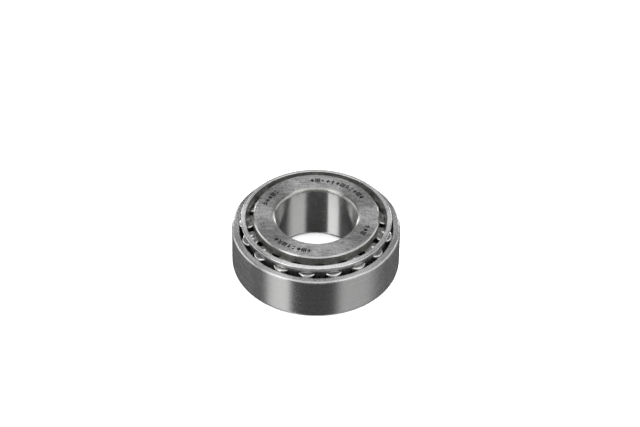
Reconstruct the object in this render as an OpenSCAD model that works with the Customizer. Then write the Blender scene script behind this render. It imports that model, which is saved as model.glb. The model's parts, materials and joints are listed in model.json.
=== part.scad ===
// Single-row tapered roller bearing. Millimetres, +Z up along the bearing's axis.
// Origin: on the axis at the outer ring's back face, which is also the inner ring's front face.
// The rollers and both raceways are cones that share one apex on the axis, below the bearing,
// so the rollers roll without sliding.

/* [Boundary dimensions] */
// Bore diameter of the inner ring
bore_d = 20; // [17:0.5:21]
// Outside diameter of the outer ring
outer_d = 42; // [41.5:0.5:48]
// Width of the inner ring, and of the whole bearing
inner_w = 15; // [14.75:0.25:17]
// Width of the outer ring
outer_w = 11.5; // [11.25:0.25:11.75]

/* [Raceways] */
// Half-angle of the outer raceway, the contact angle
contact_angle = 14; // [13:0.25:15]
// Diameter of the outer raceway where it meets the back face
raceway_small_d = 32.78; // [32.6:0.02:33]

/* [Rollers] */
// Number of rollers, and of pockets in the cage
roller_count = 17; // [12:1:17]
// Diameter of a roller's large end
roller_large_d = 4.9; // [4.5:0.05:5]
// Length of a roller
roller_len = 9.6; // [8.8:0.1:9.8]
// Height of the rollers' large-end corners above the outer ring's front face
roller_rise = 0.25; // [0:0.05:0.4]
// Radius of a roller's end corners
roller_corner_r = 0.4; // [0.1:0.05:0.6]
// Radius of the dimple in each roller end
dimple_r = 1; // [0.5:0.1:1.3]
// Depth of the dimple
dimple_depth = 0.2; // [0.1:0.05:0.3]
// Running clearance between a roller and each raceway, and at the large rib
roller_clearance = 0.03; // [0.02:0.01:0.06]

/* [Inner ring] */
// Diameter of the large rib, which the rollers' large ends run against
large_rib_d = 31.4; // [31:0.1:31.8]
// Diameter of the small rib, which keeps the rollers on the ring
small_rib_d = 26.9; // [26.6:0.1:27]
// Gap between the rollers' small ends and the small rib
small_rib_gap = 0.25; // [0.15:0.05:0.4]
// Corner radius of the bore at the back face
bore_back_r = 1; // [0.6:0.1:1.3]
// Corner radius of the bore at the front face
bore_front_r = 0.8; // [0.3:0.1:1]
// Radius of the grinding undercut at each end of the raceway
undercut_r = 0.28; // [0.15:0.01:0.35]

/* [Outer ring] */
// Corner radius of the outside at the back face
outer_back_r = 1; // [0.6:0.1:1.3]

/* [Cage] */
// Thickness of the pressed sheet
sheet_t = 1.15; // [0.8:0.05:1.2]
// Outside diameter of the rim at the large end
rim_d = 37.66; // [37.4:0.02:37.8]
// Drop from the inner ring's back face to the outer edge of the cage's rim
rim_drop = 1; // [0.6:0.1:1.3]
// Rounding of the rim's two edges
rim_round = 0.15; // [0.05:0.05:0.3]
// Half-angle of the conical wall
cage_angle = 13; // [12.5:0.25:13.5]
// Inside diameter of the inturned flange at the small end
flange_d = 28; // [27.8:0.1:29]
// Height of the flange's underside above the outer ring's back face
flange_z = 0.45; // [0.3:0.05:0.6]
// Inside radius of the bend between wall and flange
bend_r = 0.5; // [0.3:0.1:0.7]
// Clearance between a roller and its pocket's side walls
pocket_side_gap = 0.12; // [0.08:0.01:0.15]
// Clearance between a roller's ends and its pocket
pocket_end_gap = 0.2; // [0.1:0.05:0.25]

/* [Edges] */
// Bevel on the rings' other edges
edge_break = 0.3; // [0.1:0.05:0.4]
// Bevel at the mouth of the outer raceway and under the large rib
fine_break = 0.15; // [0.05:0.05:0.25]

/* [Hidden] */
$fn = 144;
bend_steps = 8;    // flat bands that make up the cage's bend
cut_scale = 1.5;   // how far a corner's cut reaches past the material, as a multiple of its size

// The common apex, and the cones of the rollers about their tilted axes
apex_z = -raceway_small_d / 2 / tan(contact_angle);
slant = (outer_w + roller_rise - apex_z) / cos(contact_angle);
roller_half_angle = asin(roller_large_d / 2 / slant);
axis_tilt = contact_angle - roller_half_angle;
large_h = slant * cos(roller_half_angle);   // apex to a roller's large end, along its axis
small_h = large_h - roller_len;
mid_h = (large_h + small_h) / 2;
pitch_angle = 360 / roller_count;

rim_z = inner_w - rim_drop;

function roller_name(k) = str("roller_", k < 10 ? "0" : "", k);

// Radius of the outer raceway at height z
function raceway_r(z) = raceway_small_d / 2 + z * tan(contact_angle);

// Radius of the rollers' cone at distance h from the apex along a roller's axis
function cone_r(h) = h * tan(roller_half_angle);

// [radius, height] of the point h along a roller's axis from the apex and t outwards from it
function from_apex(h, t) =
    [0, apex_z]
    + h * [sin(axis_tilt), cos(axis_tilt)]
    + t * [cos(axis_tilt), -sin(axis_tilt)];

// The point of radius r on the plane that crosses a roller's axis squarely at h
function on_end_plane(h, r) = from_apex(h, (r - h * sin(axis_tilt)) / cos(axis_tilt));

// Radius of the cage wall's outside at height z
function wall_r(z) = rim_d / 2 - (rim_z - z) * tan(cage_angle);

// What a corner loses when it is rounded to radius r; a and b point along its two edges
module corner_cut(corner, r, a, b) {
    half_angle = acos(a * b) / 2;
    centre = corner + (a + b) / norm(a + b) * r / sin(half_angle);
    reach = r / tan(half_angle);
    difference() {
        polygon([for (p = [centre, corner + a * reach, corner, corner + b * reach])
            centre + cut_scale * (p - centre)]);
        translate(centre) circle(r);
    }
}

// Outer ring, or cup: cylindrical outside, conical raceway inside

module outer_ring_profile() {
    outer_r = outer_d / 2;
    difference() {
        polygon([
            [outer_r, 0],
            [outer_r, outer_w - edge_break],
            [outer_r - edge_break, outer_w],
            [raceway_r(outer_w) + fine_break, outer_w],
            [raceway_r(outer_w - fine_break), outer_w - fine_break],
            [raceway_r(edge_break), edge_break],
            [raceway_r(0) + edge_break, 0],
        ]);
        corner_cut([outer_r, 0], outer_back_r, [-1, 0], [0, 1]);
    }
}

module outer_ring() {
    color("darkgray") rotate_extrude() outer_ring_profile();
}

// Inner ring, or cone: bore, conical raceway, and a rib at each end of it

module inner_ring_profile() {
    bore_r = bore_d / 2;
    large_rib_r = large_rib_d / 2;
    small_rib_r = small_rib_d / 2;
    large_face_h = large_h + roller_clearance;
    small_face_h = small_h - small_rib_gap;
    raceway_top = from_apex(large_face_h, -cone_r(large_face_h));
    raceway_bottom = from_apex(small_face_h, -cone_r(small_face_h));
    large_face_edge = on_end_plane(large_face_h, large_rib_r - fine_break);
    difference() {
        polygon([
            [bore_r, 0],
            [small_rib_r - edge_break, 0],
            [small_rib_r, edge_break],
            on_end_plane(small_face_h, small_rib_r),
            raceway_bottom,
            raceway_top,
            large_face_edge,
            large_face_edge + [fine_break, fine_break],
            [large_rib_r, inner_w - edge_break],
            [large_rib_r - edge_break, inner_w],
            [bore_r, inner_w],
        ]);
        corner_cut([bore_r, inner_w], bore_back_r, [1, 0], [0, -1]);
        corner_cut([bore_r, 0], bore_front_r, [1, 0], [0, 1]);
        translate(raceway_top) circle(undercut_r);
        translate(raceway_bottom) circle(undercut_r);
    }
}

module inner_ring() {
    color("silver") rotate_extrude() inner_ring_profile();
}

// Cage: conical sheet, cut square to itself at the rim, with a pocket for each roller and a flange
// turned in at the small end

module cage_profile() {
    bend_z = flange_z + sheet_t + bend_r;
    bend_x = wall_r(bend_z) - (bend_r + sheet_t) / cos(cage_angle);
    bend_centre = [bend_x, bend_z];
    sweep = 90 - cage_angle;
    outside = [for (i = [0 : bend_steps]) let (a = -90 + sweep * i / bend_steps)
        bend_centre + (bend_r + sheet_t) * [cos(a), sin(a)]];
    inside = [for (i = [bend_steps : -1 : 0]) let (a = -90 + sweep * i / bend_steps)
        bend_centre + bend_r * [cos(a), sin(a)]];
    down = -[sin(cage_angle), cos(cage_angle)];     // along the wall, away from the rim
    across = [-cos(cage_angle), sin(cage_angle)];   // through the sheet, towards the axis
    rim_outside = [wall_r(rim_z), rim_z];
    rim_inside = rim_outside + sheet_t * across;
    difference() {
        polygon(concat(
            [[flange_d / 2, flange_z]],
            outside,
            [rim_outside, rim_inside],
            inside,
            [[flange_d / 2, flange_z + sheet_t]]
        ));
        corner_cut(rim_outside, rim_round, down, across);
        corner_cut(rim_inside, rim_round, down, -across);
    }
}

// The space that a roller and its clearance take out of the cage, about the roller's own axis
module pocket() {
    low = small_h - pocket_end_gap;
    high = large_h + pocket_end_gap;
    translate([0, 0, low - mid_h])
        cylinder(
            h = high - low,
            r1 = cone_r(low) + pocket_side_gap,
            r2 = cone_r(high) + pocket_side_gap
        );
}

module cage() {
    color("dimgray")
        difference() {
            rotate_extrude() cage_profile();
            for (k = [1 : roller_count]) at_roller(k) pocket();
        }
}

// Rollers: tapered, with rounded corners and a shallow dimple in each end

// Puts its child's origin at roller k's middle and its Z along the roller's axis
module at_roller(k) {
    middle = from_apex(mid_h, 0);
    rotate([0, 0, (k - 1) * pitch_angle])
        translate([middle[0], 0, middle[1]])
            rotate([0, axis_tilt, 0])
                children();
}

// A dimple is a slice of a ball; side is 1 for the large end and -1 for the small end
module dimple_cut(side) {
    ball_r = (dimple_r * dimple_r + dimple_depth * dimple_depth) / 2 / dimple_depth;
    translate([0, side * (roller_len / 2 - dimple_depth + ball_r)]) circle(ball_r);
}

module roller_profile() {
    half = roller_len / 2;
    large = [cone_r(large_h) - roller_clearance, half];
    small = [cone_r(small_h) - roller_clearance, -half];
    side = [sin(roller_half_angle), cos(roller_half_angle)];
    difference() {
        polygon([[0, -half], small, large, [0, half]]);
        corner_cut(large, roller_corner_r, [-1, 0], -side);
        corner_cut(small, roller_corner_r, [-1, 0], side);
        dimple_cut(1);
        dimple_cut(-1);
    }
}

module roller(k) {
    color("lightgray") at_roller(k) rotate_extrude() roller_profile();
}

outer_ring();
inner_ring();
cage();
for (k = [1 : roller_count]) {
    roller(k);
}
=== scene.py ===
import json
import math
import random
from collections import namedtuple

import bmesh
import bpy
from mathutils import Matrix, Vector


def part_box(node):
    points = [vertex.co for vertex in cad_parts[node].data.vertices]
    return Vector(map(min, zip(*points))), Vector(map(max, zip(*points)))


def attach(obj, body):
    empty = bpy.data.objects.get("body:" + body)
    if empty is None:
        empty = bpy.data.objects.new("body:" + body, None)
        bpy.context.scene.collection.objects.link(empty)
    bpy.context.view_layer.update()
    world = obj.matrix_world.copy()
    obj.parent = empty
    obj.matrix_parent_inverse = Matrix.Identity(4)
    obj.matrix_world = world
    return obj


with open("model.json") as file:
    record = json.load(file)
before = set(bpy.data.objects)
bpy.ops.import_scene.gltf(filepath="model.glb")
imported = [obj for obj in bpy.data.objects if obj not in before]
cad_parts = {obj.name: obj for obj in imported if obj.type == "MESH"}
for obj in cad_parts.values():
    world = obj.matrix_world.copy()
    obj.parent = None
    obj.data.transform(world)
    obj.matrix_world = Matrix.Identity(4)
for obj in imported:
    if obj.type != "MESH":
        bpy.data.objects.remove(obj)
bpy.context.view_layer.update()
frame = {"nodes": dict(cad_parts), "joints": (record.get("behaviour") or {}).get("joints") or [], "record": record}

# Tapered roller bearing: procedural steels on the CAD parts, etched marks on the inner ring,
# and a white studio. Metres, +Z along the bearing's axis.

MM = 0.001

nodes = frame["nodes"]
ROLLERS = sorted(name for name in nodes if name.startswith("roller_"))
joints = {joint["name"]: joint for joint in frame["joints"]}


# ---------------------------------------------------------------- node helpers

class Graph:
    """Short calls that add nodes to one node tree."""

    def __init__(self, tree):
        self.tree = tree

    def node(self, kind, inputs=None, **settings):
        made = self.tree.nodes.new(kind)
        for key, value in settings.items():
            setattr(made, key, value)
        for key, value in (inputs or {}).items():
            self.set(made.inputs[key], value)
        return made

    def set(self, socket, value):
        if isinstance(value, bpy.types.NodeSocket):
            self.tree.links.new(value, socket)
        else:
            socket.default_value = value

    def math(self, operation, *values):
        made = self.node("ShaderNodeMath", operation=operation)
        for socket, value in zip(made.inputs, values):
            self.set(socket, value)
        return made.outputs[0]

    def vector(self, operation, *values):
        made = self.node("ShaderNodeVectorMath", operation=operation)
        for socket, value in zip(made.inputs, values):
            self.set(socket, value)
        return made.outputs["Value" if operation == "DOT_PRODUCT" else "Vector"]

    def combine(self, x, y, z):
        return self.node("ShaderNodeCombineXYZ", {"X": x, "Y": y, "Z": z}).outputs[0]

    def separate(self, vector):
        return self.node("ShaderNodeSeparateXYZ", {"Vector": vector}).outputs

    def noise(self, vector, scale=1.0, detail=2.0, roughness=0.5, distortion=0.0):
        made = self.node("ShaderNodeTexNoise", {
            "Vector": vector, "Scale": scale, "Detail": detail,
            "Roughness": roughness, "Distortion": distortion})
        return made.outputs["Fac"]

    def spread(self, value, low, high, to_low=0.0, to_high=1.0, smooth=False):
        made = self.node("ShaderNodeMapRange", {
            "Value": value, "From Min": low, "From Max": high,
            "To Min": to_low, "To Max": to_high}, clamp=True)
        if smooth:
            made.interpolation_type = "SMOOTHSTEP"
        return made.outputs["Result"]

    def mix(self, factor, a, b):
        # a mix node's colour sockets share their names with others, so they go by number
        made = self.node("ShaderNodeMix", data_type="RGBA")
        self.set(made.inputs["Factor"], factor)
        self.set(made.inputs[6], a)
        self.set(made.inputs[7], b)
        return made.outputs[2]


def new_material(name):
    material = bpy.data.materials.new(name)
    material.use_nodes = True
    material.node_tree.nodes.clear()
    return material, Graph(material.node_tree)


def grey(level, warmth=0.0):
    """A neutral colour, or one with a little less blue."""
    return (level, level, level * (1 - warmth), 1)


# ---------------------------------------------------------------- coordinates

MASK_SOFT = 0.02         # half the width over which a mask fades, in millimetres


class Spot:
    """Where a point of the surface lies: millimetres, and cylindrical coordinates about Z."""

    def __init__(self, g, position):
        self.g = g
        self.point = g.vector("MULTIPLY", position, (1 / MM,) * 3)
        x, y, self.height = g.separate(self.point)
        self.radius = g.math("SQRT", g.math("ADD", g.math("MULTIPLY", x, x), g.math("MULTIPLY", y, y)))
        safe = g.math("MAXIMUM", self.radius, 0.01)
        self.circle_x = g.math("DIVIDE", x, safe)
        self.circle_y = g.math("DIVIDE", y, safe)
        # grows both across a flat face and up a wall, so that lines show on either
        self.across = g.math("ADD", self.radius, self.height)

    def lines(self, around, fineness, detail=3.0, seed=0.0):
        """Noise drawn out round the axis, like grinding lines."""
        g = self.g
        vector = g.combine(g.math("MULTIPLY", self.circle_x, around),
                           g.math("MULTIPLY", self.circle_y, around),
                           g.math("ADD", g.math("MULTIPLY", self.across, fineness), seed))
        return g.noise(vector, detail=detail, roughness=0.6)

    def streaks(self, angle, length, fineness, seed, detail=1.0):
        """Noise drawn out one way across XY, like rubbing marks, at an angle clockwise from X."""
        g = self.g
        turned = g.node("ShaderNodeVectorRotate", {"Vector": self.point, "Angle": angle},
                        rotation_type="Z_AXIS").outputs[0]
        drawn = g.vector("MULTIPLY", turned, (1 / length, fineness, fineness))
        moved = g.vector("ADD", drawn, (seed, seed * 1.7, seed * 0.3))
        return g.noise(moved, detail=detail, distortion=0.15)

    def inside(self, radius, height):
        """1 where the radius and height lie within the (low, high) pairs given, in millimetres."""
        g = self.g
        result = 1.0
        for value, (low, high) in ((self.radius, radius), (self.height, height)):
            result = g.math("MULTIPLY", result, g.spread(value, low - MASK_SOFT, low + MASK_SOFT))
            result = g.math("MULTIPLY", result, g.spread(value, high + MASK_SOFT, high - MASK_SOFT))
        return result


def object_position(g):
    return g.node("ShaderNodeTexCoord").outputs["Object"]


def roller_position(g):
    """The position in each roller's own frame: its middle at the origin, its axis along Z."""
    first = joints["roller_01_spin"]
    middle, axis = Vector(first["pos_m"]), Vector(first["axis"])
    tilt = math.atan2(axis.x, axis.z)
    index = g.node("ShaderNodeObjectInfo").outputs["Object Index"]
    turn = g.math("MULTIPLY", g.math("SUBTRACT", index, 1.0), -2 * math.pi / len(ROLLERS))
    position = g.node("ShaderNodeVectorRotate", {
        "Vector": object_position(g), "Angle": turn}, rotation_type="Z_AXIS").outputs[0]
    position = g.vector("SUBTRACT", position, tuple(middle))
    return g.node("ShaderNodeVectorRotate", {
        "Vector": position, "Angle": -tilt}, rotation_type="Y_AXIS").outputs[0]


# ---------------------------------------------------------------- steels

def add(g, *values):
    total = values[0]
    for value in values[1:]:
        total = g.math("ADD", total, value)
    return total


def sway(g, value, amount):
    """A 0 to 1 noise turned into plus or minus half the amount."""
    return g.math("MULTIPLY", g.math("SUBTRACT", value, 0.5), amount)


# A stretch of the surface with another finish; mask takes a Spot and gives 1 there
Zone = namedtuple("Zone", "mask level warmth more_rough contrast")

RUB_ANGLE = math.radians(12)     # the stronger rubbing marks, clockwise from X
CROSS_ANGLE = 1.3                # from them to the marks that cross them, in radians
SHELTERED_WEAR = 0.08            # rubs and scratches on a sheltered surface, against an open one
SCRATCH_LAYERS = 3
SCRATCH_RANGE = (0.64, 0.72)     # noise at which a scratch begins, and is whole
PIT_RANGE = (0.71, 0.75)         # the same for a pit
BRIGHTEST_STEEL = 0.97
# the lightest that scratches and the edges' wear and painted highlight get
BRIGHTEST_WEAR_AND_HIGHLIGHT = 0.9
SEED_SPAN = 50                   # seeds of the streaks lie between 0 and this
EDGE_TURN = (0.997, 0.93)        # cosines of the turn at which an edge's wear and painted highlight begin, and are whole
RELIEF = 0.002 * MM              # depth of the surface's relief


def scratch_mask(spot, rng):
    """1 on fine scratches that run a few ways."""
    g = spot.g
    scratches = 0.0
    for _ in range(SCRATCH_LAYERS):
        streak = spot.streaks(
            angle=rng.uniform(0, math.pi), length=rng.uniform(1.5, 3.5),
            fineness=rng.uniform(4, 6), seed=rng.uniform(0, SEED_SPAN))
        scratches = g.math("MAXIMUM", scratches, g.spread(streak, *SCRATCH_RANGE))
    return scratches


def groove_tangent(g, geometry):
    """The way across grooves that run round Z, which is how their highlight is drawn out."""
    groove = g.vector("CROSS_PRODUCT", (0, 0, 1), geometry.outputs["Position"])
    return g.vector("NORMALIZE", g.vector("CROSS_PRODUCT", groove, geometry.outputs["Normal"]))


def steel(name, base, roughness, anisotropic, coordinates, around, fineness, zones=(), contrast=0.22,
          cloud_amount=0.25, mottle_amount=0.6, grain_amount=0.25, scratch_amount=0.3, pit_amount=0.35,
          bump=0.5, edge_radius=0.12, rubbed=None):
    """Bearing steel: lines round the axis, clouds, rubs, scratches, pits, and edges painted lighter, partly as
    wear and partly as a painted highlight.

    Where the mask rubbed is 0, a sheltered surface keeps few rubs and scratches.
    """
    material, g = new_material(name)
    spot = Spot(g, coordinates(g))
    rng = random.Random(name)

    lines = spot.lines(around, fineness)
    bands = spot.lines(around / 2, fineness / 6, detail=2.0, seed=17.0)
    cloud = g.noise(spot.point, 0.45, detail=4.0, roughness=0.6, distortion=0.4)
    mottle = g.noise(spot.point, 1.2, detail=3.0, roughness=0.55, distortion=0.8)
    grain = g.noise(spot.point, 7.0, detail=3.0, roughness=0.65)
    pits = g.spread(g.noise(spot.point, 4.2, detail=1.0), *PIT_RANGE)

    wear = scratch_amount
    if rubbed:
        wear = g.math("MULTIPLY", wear, g.spread(rubbed(spot), 0.0, 1.0, SHELTERED_WEAR, 1.0))
    scratches = g.math("MULTIPLY", scratch_mask(spot, rng), wear)
    rubs = spot.streaks(
        RUB_ANGLE, length=2.2, fineness=2.6, seed=rng.uniform(0, SEED_SPAN), detail=3.0)
    cross_rubs = spot.streaks(
        RUB_ANGLE + CROSS_ANGLE, length=1.6, fineness=3.2, seed=rng.uniform(0, SEED_SPAN), detail=2.0)

    tone = add(g, 0.5, sway(g, lines, 0.30), sway(g, bands, 0.45), sway(g, cloud, cloud_amount * 4),
               sway(g, mottle, mottle_amount * 2), sway(g, grain, grain_amount),
               g.math("MULTIPLY", wear, add(g, sway(g, rubs, 2.2), sway(g, cross_rubs, 1.4))))
    tone = g.math("MAXIMUM", 0.0, g.math("MINIMUM", 1.0, tone))
    colour = g.mix(tone, grey(base * (1 - contrast), 0.02),
                   grey(min(base * (1 + contrast), BRIGHTEST_STEEL)))
    rough = add(g, roughness, sway(g, lines, roughness * 0.4),
                sway(g, cloud, roughness * cloud_amount * 2.4),
                g.math("MULTIPLY", scratches, 0.15), g.math("MULTIPLY", pits, pit_amount * 0.6))
    for zone in zones:
        mask = zone.mask(spot)
        dark = grey(zone.level * (1 - zone.contrast), zone.warmth)
        light = grey(min(zone.level * (1 + zone.contrast), BRIGHTEST_STEEL), zone.warmth)
        colour = g.mix(mask, colour, g.mix(tone, dark, light))
        rough = g.math("ADD", rough, g.math("MULTIPLY", mask, zone.more_rough))

    geometry = g.node("ShaderNodeNewGeometry")
    rounded_normal = g.node("ShaderNodeBevel", {"Radius": edge_radius * MM}, samples=4).outputs[0]
    # edges are painted lighter: partly edge wear, partly a painted highlight where a rounded edge catches the
    # light
    edge_wear_and_highlight = g.spread(g.vector("DOT_PRODUCT", rounded_normal, geometry.outputs["Normal"]), *EDGE_TURN)
    edge_wear_and_highlight = g.math("MULTIPLY", edge_wear_and_highlight, g.spread(cloud, 0.35, 0.55, 0.4, 0.9))
    colour = g.mix(edge_wear_and_highlight, colour, grey(min(base * 1.4, BRIGHTEST_WEAR_AND_HIGHLIGHT)))
    colour = g.mix(g.math("MULTIPLY", scratches, 0.6), colour, grey(min(base * 1.5, BRIGHTEST_WEAR_AND_HIGHLIGHT)))
    colour = g.mix(g.math("MULTIPLY", pits, pit_amount), colour, grey(base * 0.25, 0.03))

    relief = add(g, lines, g.math("MULTIPLY", grain, grain_amount * 0.4),
                 g.math("MULTIPLY", scratches, -1.0), g.math("MULTIPLY", pits, -pit_amount))
    bumped = g.node("ShaderNodeBump", {
        "Strength": bump, "Distance": RELIEF, "Height": relief, "Normal": rounded_normal})
    shader = g.node("ShaderNodeBsdfPrincipled", {
        "Base Color": colour, "Metallic": 1.0, "Roughness": rough,
        "Anisotropic": anisotropic, "Normal": bumped.outputs[0]})
    if anisotropic:
        g.set(shader.inputs["Tangent"], groove_tangent(g, geometry))
    g.node("ShaderNodeOutputMaterial", {"Surface": shader.outputs[0]})
    return material


# The cage's sheet is a cone. Up is along its slope, and out is square through it.

CAGE_WALL_ANGLE = math.radians(13)
CAGE_SINE = math.sin(CAGE_WALL_ANGLE)
CAGE_COSINE = math.cos(CAGE_WALL_ANGLE)
RIM_EDGE = (0.16, 0.10)          # below the cage's top, where the rim's look begins and is whole
INSIDE_EDGE = (0.2, 0.5)         # in from its outer skin, where the inside's painted shade begins and is whole


def cage_extents():
    """How far up the slope, and how far out through it, the cage reaches, in millimetres."""
    points = [(math.hypot(v.co.x, v.co.y) / MM, v.co.z / MM) for v in nodes["cage"].data.vertices]
    return (max(radius * CAGE_SINE + height * CAGE_COSINE for radius, height in points),
            max(radius * CAGE_COSINE - height * CAGE_SINE for radius, height in points))


CAGE_TOP, CAGE_SKIN = cage_extents()


def on_sheet(spot, of_radius, of_height):
    """A spot's distance along a direction in the cage's profile, in millimetres."""
    g = spot.g
    return add(g, g.math("MULTIPLY", spot.radius, of_radius), g.math("MULTIPLY", spot.height, of_height))


def sheared_rim(spot):
    """1 on the cage's rim, whose cut face lies square to the sheet."""
    begins, whole = RIM_EDGE
    return spot.g.spread(on_sheet(spot, CAGE_SINE, CAGE_COSINE), CAGE_TOP - begins, CAGE_TOP - whole)


def shaded_cage_inside(spot):
    """1 on the cage's inside and in its pockets: duller than its outside, and darkened as painted shade inside the
    bearing.
    """
    begins, whole = INSIDE_EDGE
    return spot.g.spread(on_sheet(spot, CAGE_COSINE, -CAGE_SINE), CAGE_SKIN - begins, CAGE_SKIN - whole)


RING_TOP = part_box("inner_ring")[1].z / MM
RIB_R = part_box("inner_ring")[1].x / MM
BORE_R = next(m for m in frame["record"]["mounts"] if m["name"] == "shaft_bore")["dims"]["r_mm"]
OUTER_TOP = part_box("outer_ring")[1].z / MM
OUTER_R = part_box("outer_ring")[1].x / MM


def back_face(spot):
    """1 on the inner ring's ground back face."""
    return spot.inside(radius=(BORE_R, RIB_R), height=(RING_TOP - 0.02, RING_TOP + 1.0))


def bore_corner(spot):
    """1 on the turned corner between bore and back face."""
    return spot.inside(radius=(0, BORE_R + 1.0), height=(RING_TOP - 1.0, RING_TOP - 0.02))


def rib_side(spot):
    """1 on the turned side of the large rib."""
    return spot.inside(radius=(RIB_R - 0.3, RIB_R + 1.0), height=(0, RING_TOP - 0.3))


def highlighted_front_face(spot):
    """1 on the outer ring's front face, painted lighter than its wall as a painted highlight."""
    return spot.inside(radius=(0, OUTER_R - 0.1), height=(OUTER_TOP - 0.2, OUTER_TOP + 1.0))


inner_steel = steel(
    "inner_ring_ground_steel", base=0.60, roughness=0.19, anisotropic=0.95,
    coordinates=object_position, around=1.5, fineness=14.0,
    zones=[
        Zone(back_face, level=0.60, warmth=0.0, more_rough=0.14, contrast=0.34),
        # the turned surfaces have a slight yellow tint
        Zone(bore_corner, level=0.50, warmth=0.04, more_rough=0.08, contrast=0.2),
        Zone(rib_side, level=0.34, warmth=0.06, more_rough=0.15, contrast=0.4),
    ], contrast=0.05, scratch_amount=1.0, rubbed=back_face)
outer_steel = steel(
    "outer_ring_ground_steel", base=0.47, roughness=0.25, anisotropic=0.95,
    coordinates=object_position, around=1.5, fineness=14.0,
    # painted highlight: the front face's steel is set far lighter than the wall's for the light the face and its
    # rounded edge catch
    zones=[Zone(highlighted_front_face, level=0.86, warmth=0.0, more_rough=0.02, contrast=0.10)],
    contrast=0.10, cloud_amount=0.08, mottle_amount=0.2, grain_amount=0.1, scratch_amount=0.1,
    pit_amount=0.05, bump=0.2, edge_radius=0.6)
cage_steel = steel(
    "cage_pressed_steel", base=0.40, roughness=0.28, anisotropic=0.3,
    coordinates=object_position, around=6.0, fineness=5.0,
    zones=[
        # painted shade: the cage's inside and pockets are set darker for the shade between the cage, rollers and
        # rings
        Zone(shaded_cage_inside, level=0.27, warmth=0.04, more_rough=0.12, contrast=0.4),
        Zone(sheared_rim, level=0.90, warmth=0.0, more_rough=-0.10, contrast=0.12),
    ], grain_amount=0.8, pit_amount=0.6)
roller_steel = steel(
    "roller_superfinished_steel", base=0.70, roughness=0.15, anisotropic=0.0,
    coordinates=roller_position, around=1.0, fineness=18.0,
    contrast=0.15, cloud_amount=0.08, mottle_amount=0.1, scratch_amount=0.1, pit_amount=0.1, bump=0.2)
STEELS = {"inner_ring": inner_steel, "outer_ring": outer_steel, "cage": cage_steel}

for name, obj in nodes.items():
    if name in ROLLERS:
        # the object index that roller_position reads
        obj.pass_index = ROLLERS.index(name) + 1
    obj.material_slots[0].material = STEELS.get(name, roller_steel)


# ---------------------------------------------------------------- etched marks

MARK_RADIUS = 13.3       # the middle of the marks, in millimetres
MARK_HEIGHT = 1.4
MARK_ADVANCE = 1.32      # from one mark to the next along the circle
STROKE = 0.23            # as a fraction of a mark's height
MARK_TOP = RING_TOP + 0.004      # the etched film stands this little off the face
MARK_ROOT = RING_TOP - 0.02      # and is rooted in it


def block(x, y, half_width, half_height):
    return [(x - half_width, y - half_height), (x + half_width, y - half_height),
            (x + half_width, y + half_height), (x - half_width, y + half_height)]


def cross(reach, half):
    """A plus sign about the middle of a mark."""
    quarter = [(half, half), (half, reach), (-half, reach)]
    corners = []
    for _ in range(4):
        corners += quarter
        quarter = [(-y, x) for x, y in quarter]
    return [(x, y + 0.5) for x, y in corners]


def chevron(base):
    """A roof-shaped stroke whose feet stand at the height given."""
    rise = 0.32
    thick = STROKE * 1.3
    return [(-0.36, base), (0, base + rise), (0.36, base),
            (0.36, base + thick), (0, base + rise + thick), (-0.36, base + thick)]


# Plain workshop signs on a field about one unit high. Each is a list of outlines.
SIGNS = {
    "ticks": [block(x, 0.5, STROKE / 2, 0.5) for x in (-0.3, 0, 0.3)],
    "dots": [block(0, y, 0.15, 0.15) for y in (0.2, 0.8)],
    "dot": [block(0, 0.5, 0.2, 0.2)],
    "plus": [cross(0.4, STROKE / 2)],
    "diamond": [[(0, 0), (0.38, 0.5), (0, 1), (-0.38, 0.5)]],
    "chevrons": [chevron(0.0), chevron(0.42)],
    "arrow": [[(-STROKE / 2, 0), (STROKE / 2, 0), (STROKE / 2, 0.5), (0.36, 0.5),
               (0, 1), (-0.36, 0.5), (-STROKE / 2, 0.5)]],
}

# (name, first mark's angle in degrees, signs): they run clockwise with their tops outwards
MARK_GROUPS = [
    ("marks_a", 86.0, ["diamond", "ticks", "dot", "plus", "arrow", "diamond",
                       "ticks", "chevrons", "dots", "plus", "ticks", "diamond"]),
    ("marks_b", 153.0, ["chevrons", "plus", "diamond", "ticks", "dots"]),
    ("marks_c", -26.5, ["arrow", "diamond", "ticks"]),
    ("marks_d", -106.0, ["plus", "ticks", "diamond", "dots", "arrow", "ticks", "chevrons", "diamond"]),
]


def add_sign(bm, outline, to_space):
    """A closed prism on one outline."""
    root, top = ([bm.verts.new(to_space(point, height)) for point in outline]
                 for height in (MARK_ROOT, MARK_TOP))
    count = len(outline)
    for i in range(count):
        j = (i + 1) % count
        bm.faces.new((root[i], root[j], top[j], top[i]))
    bm.faces.new(root)
    bm.faces.new(top)


def etched_material():
    """Dark etched oxide, lighter in patches."""
    material, g = new_material("etched_oxide")
    spot = Spot(g, object_position(g))
    patchy = g.noise(spot.point, 3.0, detail=4.0, roughness=0.7)
    colour = g.mix(g.spread(patchy, 0.42, 0.70), grey(0.02, 0.05), grey(0.10, 0.05))
    rough = g.spread(patchy, 0.3, 0.7, 0.62, 0.42)
    grain = g.noise(spot.point, 12.0, detail=3.0, roughness=0.6)
    bumped = g.node("ShaderNodeBump", {"Strength": 0.5, "Distance": RELIEF, "Height": grain})
    shader = g.node("ShaderNodeBsdfPrincipled", {
        "Base Color": colour, "Metallic": 1.0, "Roughness": rough, "Normal": bumped.outputs[0]})
    g.node("ShaderNodeOutputMaterial", {"Surface": shader.outputs[0]})
    return material


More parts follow.
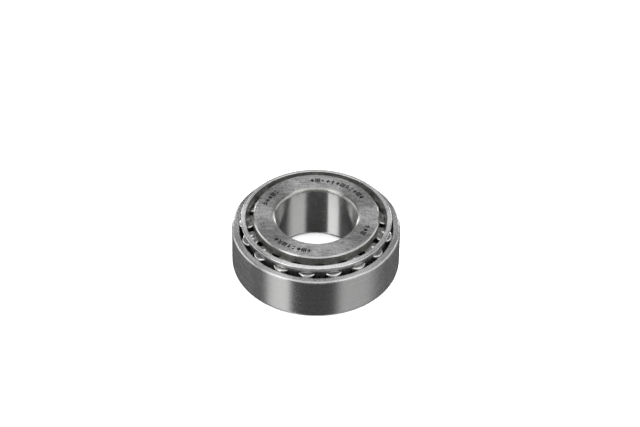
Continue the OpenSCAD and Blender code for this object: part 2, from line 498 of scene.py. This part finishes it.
def add_marks(name, first_angle, signs, material):
    bm = bmesh.new()
    for k, sign in enumerate(signs):
        angle = math.radians(first_angle) - k * MARK_ADVANCE / MARK_RADIUS

        def to_space(point, height, angle=angle):
            x, y = point
            radius = MARK_RADIUS + (y - 0.5) * MARK_HEIGHT
            turn = angle - x * MARK_HEIGHT / MARK_RADIUS
            return Vector((radius * math.cos(turn), radius * math.sin(turn), height)) * MM

        for outline in SIGNS[sign]:
            add_sign(bm, outline, to_space)
    bmesh.ops.recalc_face_normals(bm, faces=bm.faces)
    mesh = bpy.data.meshes.new(name)
    bm.to_mesh(mesh)
    bm.free()
    mesh.materials.append(material)
    marks = bpy.data.objects.new(name, mesh)
    bpy.context.scene.collection.objects.link(marks)
    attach(marks, "inner_ring")


etched = etched_material()
for name, first_angle, signs in MARK_GROUPS:
    add_marks(name, first_angle, signs, etched)


# ---------------------------------------------------------------- floor, light and camera

CAMERA_AZIMUTH = math.radians(-99.05)    # about Z from +X, where the camera stands
CAMERA_ELEVATION = math.radians(41.73)
CAMERA_DISTANCE = 0.700
CAMERA_ROLL = math.radians(-0.87)
FOCAL_LENGTH = 157.54                     # in millimetres, like the sensor's width
SENSOR_WIDTH = 36
MID_HEIGHT = 7.5 * MM                     # of the bearing
AIM_RIGHT = 1.0 * MM                      # where the camera aims, from the bearing's middle
AIM_UP = 6.07 * MM
FLOOR_HALF = 3.0
FLOOR_WHITE = 0.9
LAMP_SIZE = 0.6
LAMP_POWER = 4.0
LAMP_PLACE = Vector((0.1, 0.15, 0.8))


def add_camera():
    middle = Vector((0, 0, MID_HEIGHT))
    back = Vector((math.cos(CAMERA_ELEVATION) * math.cos(CAMERA_AZIMUTH),
                   math.cos(CAMERA_ELEVATION) * math.sin(CAMERA_AZIMUTH),
                   math.sin(CAMERA_ELEVATION)))
    place = middle + CAMERA_DISTANCE * back
    level_right = Vector((0, 0, 1)).cross(back).normalized()
    level_up = back.cross(level_right)
    right = level_right * math.cos(CAMERA_ROLL) - level_up * math.sin(CAMERA_ROLL)
    up = level_right * math.sin(CAMERA_ROLL) + level_up * math.cos(CAMERA_ROLL)
    target = middle + right * AIM_RIGHT + up * AIM_UP
    look = (place - target).normalized()
    side = up.cross(look).normalized()
    rotation = Matrix((side, look.cross(side), look)).transposed()
    data = bpy.data.cameras.new("camera")
    data.lens = FOCAL_LENGTH
    data.sensor_width = SENSOR_WIDTH
    camera = bpy.data.objects.new("camera", data)
    camera.matrix_world = Matrix.Translation(place) @ rotation.to_4x4()
    bpy.context.scene.collection.objects.link(camera)
    bpy.context.scene.camera = camera


def add_floor():
    mesh = bpy.data.meshes.new("floor")
    corners = [(x * FLOOR_HALF, y * FLOOR_HALF, 0) for x, y in ((-1, -1), (1, -1), (1, 1), (-1, 1))]
    mesh.from_pydata(corners, [], [(0, 1, 2, 3)])
    floor = bpy.data.objects.new("floor", mesh)
    bpy.context.scene.collection.objects.link(floor)
    material, g = new_material("floor_white")
    shader = g.node("ShaderNodeBsdfDiffuse", {"Color": grey(FLOOR_WHITE)})
    g.node("ShaderNodeOutputMaterial", {"Surface": shader.outputs[0]})
    mesh.materials.append(material)
    floor.visible_glossy = False


# Soft boxes round the bearing, as the steel mirrors them. Degrees; azimuths from the camera's,
# anticlockwise seen from above: (first edge, softness, last edge, softness, lowest, highest, strength)
SOFT_BOXES = [
    (-75, 15, -34, 1.5, -80, 60, 0.20),     # left wash
    (-128, 10, -75, 15, -24, 30, 1.25),     # left wash, above the bore's reach
    (-67, 1.5, -34, 1.5, -80, 60, 0.92),    # left panel, with hard edges
    (32, 8, 84, 16, -80, 60, 0.62),         # right panel
    (70, 20, 128, 10, -24, 30, 1.0),        # right wash, above the bore's reach
    (146, 4, 153, 3, -6, 34, 4.2),          # behind, right
    (-153, 3, -146, 4, -6, 34, 5.0),        # behind, left
    (150, 10, 210, 10, 2, 22, 0.5),         # low behind
]
AMBIENT = 0.04
SKY = 0.12                                # added above SKY_EDGE
SKY_EDGE = 25
OVERHEAD = 1.05                           # a round soft box overhead, leaning to the camera
OVERHEAD_LEAN = 12
OVERHEAD_HALF = 36
ZENITH_DIP = 0.55                         # taken off it straight above, for the faces' tone
ZENITH_HALF = 14
EDGE_SOFT = 5
SURROUND = 3.4                            # the plain white that all but mirror images see


def add_world():
    world = bpy.data.worlds.new("studio")
    bpy.context.scene.world = world
    world.use_nodes = True
    world.node_tree.nodes.clear()
    g = Graph(world.node_tree)
    direction = g.node("ShaderNodeTexCoord").outputs["Generated"]
    turned = g.node("ShaderNodeVectorRotate", {
        "Vector": direction, "Angle": -CAMERA_AZIMUTH}, rotation_type="Z_AXIS").outputs[0]
    x, y, z = g.separate(turned)
    degrees = 180 / math.pi
    azimuth = g.math("MULTIPLY", g.math("ARCTAN2", y, x), degrees)
    elevation = g.math("MULTIPLY", g.math("ARCSINE", z), degrees)

    def between(value, low, low_soft, high, high_soft):
        return g.math("MULTIPLY", g.spread(value, low - low_soft, low + low_soft, smooth=True),
                      g.spread(value, high + high_soft, high - high_soft, smooth=True))

    light = g.math("ADD", AMBIENT, g.math("MULTIPLY", SKY, g.spread(
        elevation, SKY_EDGE - EDGE_SOFT, SKY_EDGE + EDGE_SOFT, smooth=True)))
    for first, first_soft, last, last_soft, low, high, strength in SOFT_BOXES:
        middle = (first + last) / 2
        away = g.math("WRAP", g.math("SUBTRACT", azimuth, middle), 180.0, -180.0)
        side = between(away, first - middle, first_soft, last - middle, last_soft)
        tall = between(elevation, low, EDGE_SOFT, high, EDGE_SOFT)
        light = g.math("ADD", light, g.math("MULTIPLY", g.math("MULTIPLY", side, tall), strength))
    lean = math.radians(OVERHEAD_LEAN)
    off = g.vector("DOT_PRODUCT", turned, (math.sin(lean), 0, math.cos(lean)))
    off = g.math("MULTIPLY", g.math("ARCCOSINE", off), degrees)
    overhead = g.spread(off, OVERHEAD_HALF + EDGE_SOFT, OVERHEAD_HALF - EDGE_SOFT, smooth=True)
    zenith = g.spread(elevation, 90 - ZENITH_HALF - EDGE_SOFT, 90 - ZENITH_HALF + EDGE_SOFT,
                      0.0, ZENITH_DIP, smooth=True)
    light = g.math("ADD", light, g.math("MULTIPLY", g.math("SUBTRACT", overhead, zenith), OVERHEAD))
    seen = g.node("ShaderNodeLightPath").outputs["Is Glossy Ray"]
    studio = g.node("ShaderNodeBackground", {"Color": g.combine(light, light, light)})
    plain = g.node("ShaderNodeBackground", {"Color": grey(1.0), "Strength": SURROUND})
    both = g.node("ShaderNodeMixShader", {0: seen, 1: plain.outputs[0], 2: studio.outputs[0]})
    g.node("ShaderNodeOutputWorld", {"Surface": both.outputs[0]})


def add_lights():
    """One large overhead soft box, which lights the floor and isn't mirrored in the steel."""
    data = bpy.data.lights.new("overhead", "AREA")
    data.shape = "DISK"
    data.size = LAMP_SIZE
    data.energy = LAMP_POWER
    light = bpy.data.objects.new("overhead", data)
    light.location = LAMP_PLACE
    light.rotation_euler = LAMP_PLACE.to_track_quat("Z", "Y").to_euler()
    light.visible_glossy = False
    bpy.context.scene.collection.objects.link(light)


add_camera()
add_floor()
add_world()
add_lights()
bpy.context.scene.view_settings.view_transform = "Standard"
